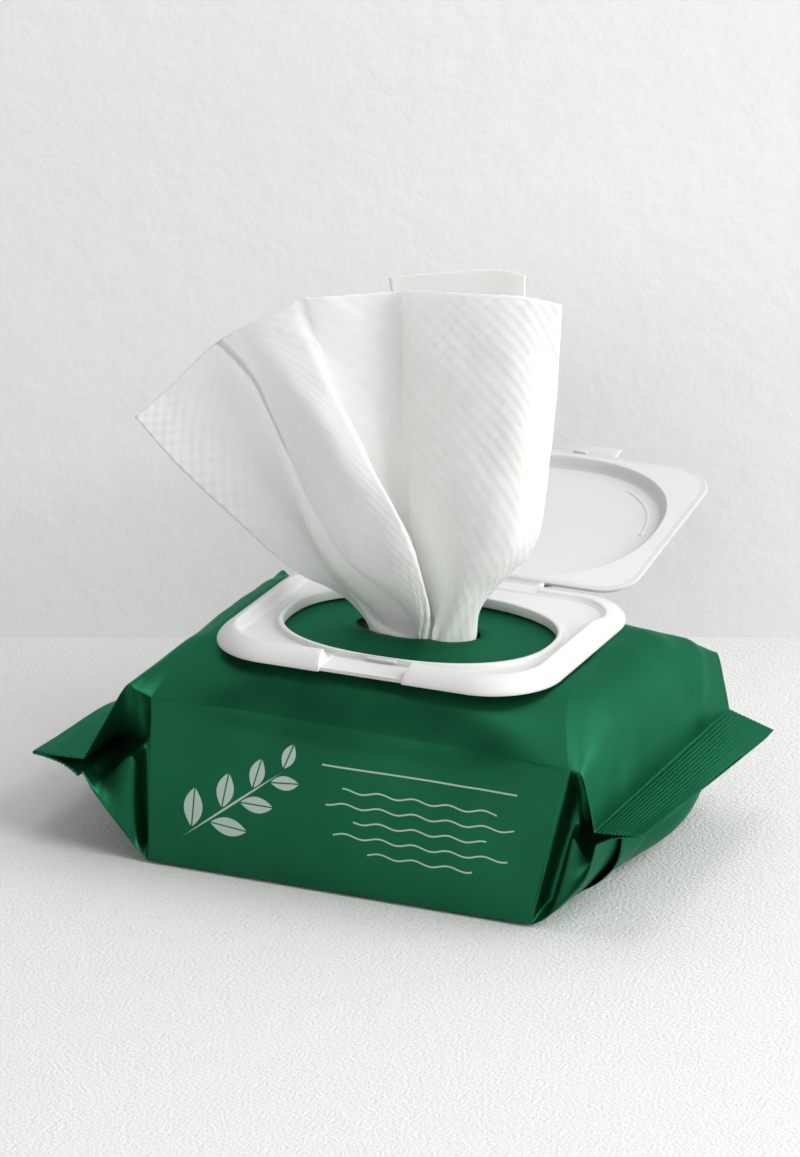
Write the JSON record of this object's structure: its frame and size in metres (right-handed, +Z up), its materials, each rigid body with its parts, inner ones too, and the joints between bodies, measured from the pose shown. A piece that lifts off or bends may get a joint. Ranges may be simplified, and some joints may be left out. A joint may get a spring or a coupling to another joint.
{
  "type": "wet wipes pack",
  "caption": "Gusseted film pouch of wet wipes with crimped end seals and a rigid flip-top frame; the hinged lid stands open and one wipe is pulled up through the slot.",
  "frame": {"origin": "middle of the flat underside of the pouch, halfway between its front and rear faces", "axes": "+X along the pack towards the right-hand end seal, +Y to the rear face where the lid is hinged, +Z up"},
  "size_m": [0.1796, 0.1706, 0.1637],
  "materials": {
    "film": "satin printed film",
    "plastic": "white satin moulding",
    "cloth": "wet embossed nonwoven"
  },
  "bodies": {
    "pack": {"film_wrap": "film", "lid_frame": "plastic", "hinge_web": "plastic", "wipe_pulled": "cloth", "wipe_01": "cloth", "wipe_02": "cloth", "wipe_03": "cloth", "wipe_04": "cloth", "wipe_05": "cloth", "wipe_06": "cloth", "wipe_07": "cloth", "wipe_08": "cloth", "wipe_09": "cloth", "wipe_10": "cloth", "wipe_11": "cloth", "wipe_12": "cloth", "wipe_13": "cloth", "wipe_14": "cloth", "wipe_15": "cloth", "wipe_16": "cloth", "wipe_17": "cloth", "wipe_18": "cloth", "wipe_19": "cloth", "wipe_20": "cloth", "wipe_21": "cloth", "wipe_22": "cloth", "wipe_23": "cloth", "wipe_24": "cloth"},
    "lid": {"lid": "plastic"}
  },
  "joints": [
    {"name": "lid_hinge", "type": "hinge", "parent": "pack", "child": "lid", "pos_m": [0.0035, 0.041, 0.063], "axis": [1, 0, 0], "range_deg": [0, 170], "deforming": ["wipe_pulled", "hinge_web"]}
  ]
}
